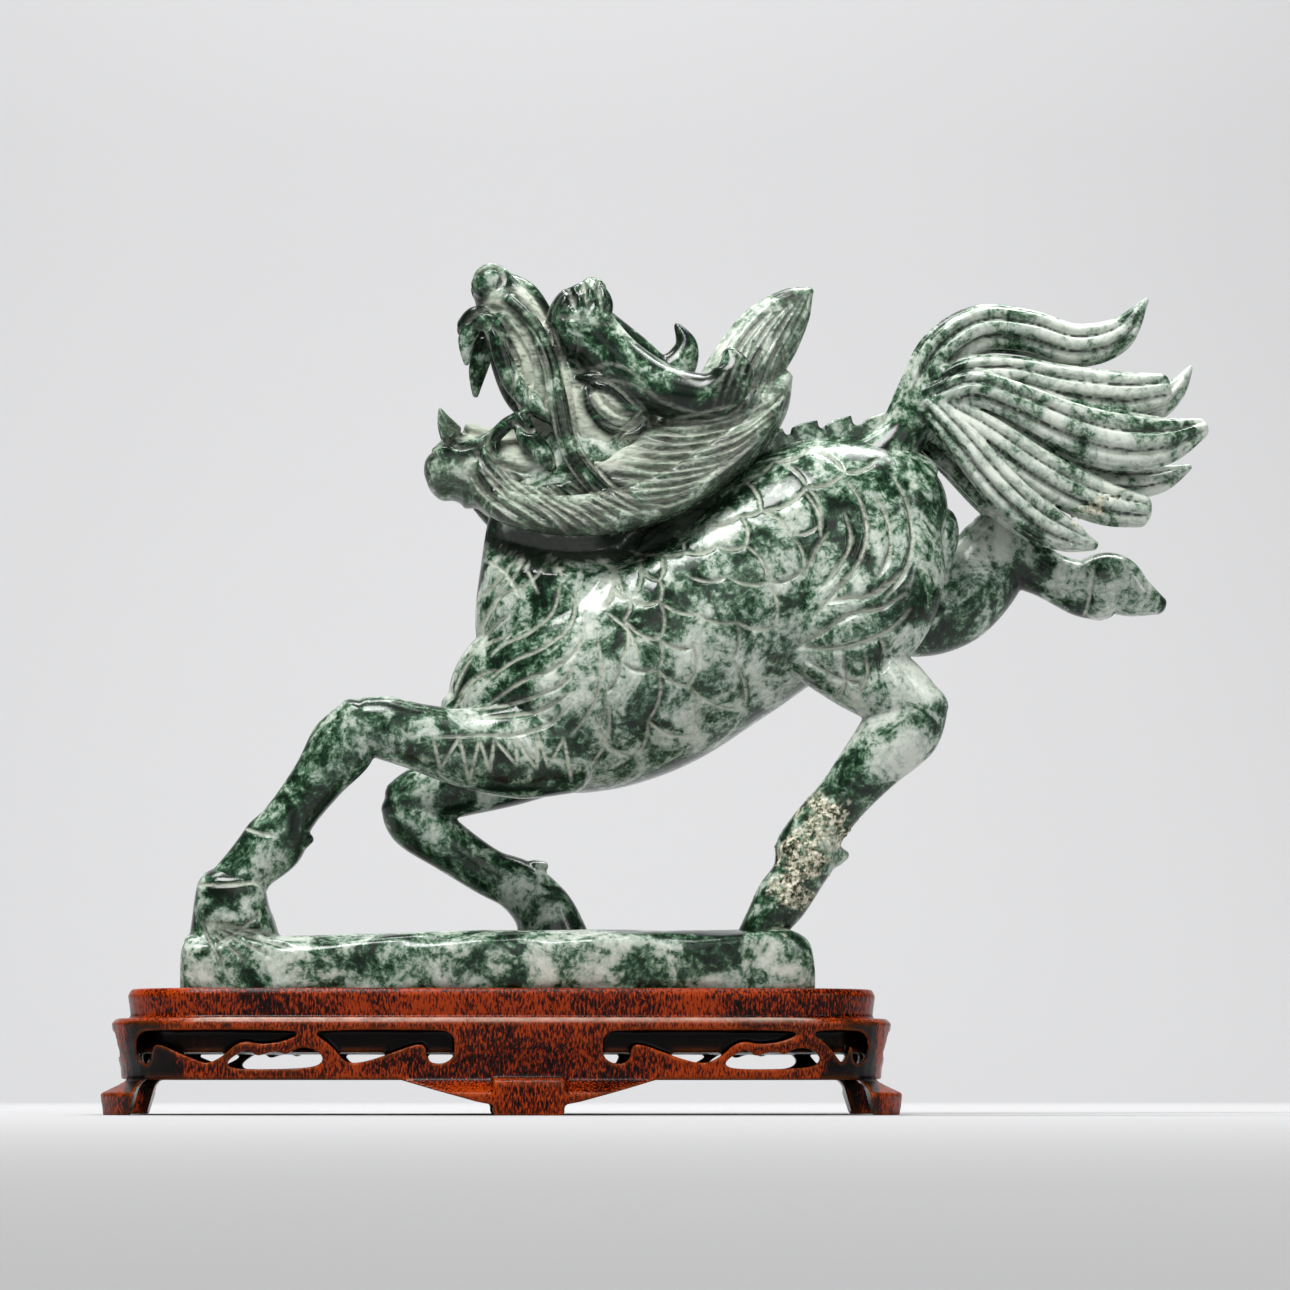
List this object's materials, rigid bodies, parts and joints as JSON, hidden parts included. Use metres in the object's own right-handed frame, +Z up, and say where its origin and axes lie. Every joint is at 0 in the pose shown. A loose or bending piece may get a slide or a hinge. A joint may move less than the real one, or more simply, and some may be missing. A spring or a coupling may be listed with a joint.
{
  "type": "dragon horse carving",
  "caption": "Polished green stone carving of a scaled dragon-headed horse in full gallop on its rock base, standing in the recess of a pierced red-brown wooden stand",
  "frame": {"origin": "middle of the underside of the whole object's bounding box, on the surface it stands on", "axes": "+X along the length, the horse faces -X; +Y away from the viewer of the pictured side; +Z up"},
  "size_m": [0.2732, 0.099, 0.2123],
  "materials": {
    "serpentine": "polished mottled green with pale clouds",
    "hardwood": "red-brown stain under satin varnish"
  },
  "bodies": {
    "root": {"carving": "serpentine", "stand": "hardwood"}
  },
  "joints": []
}
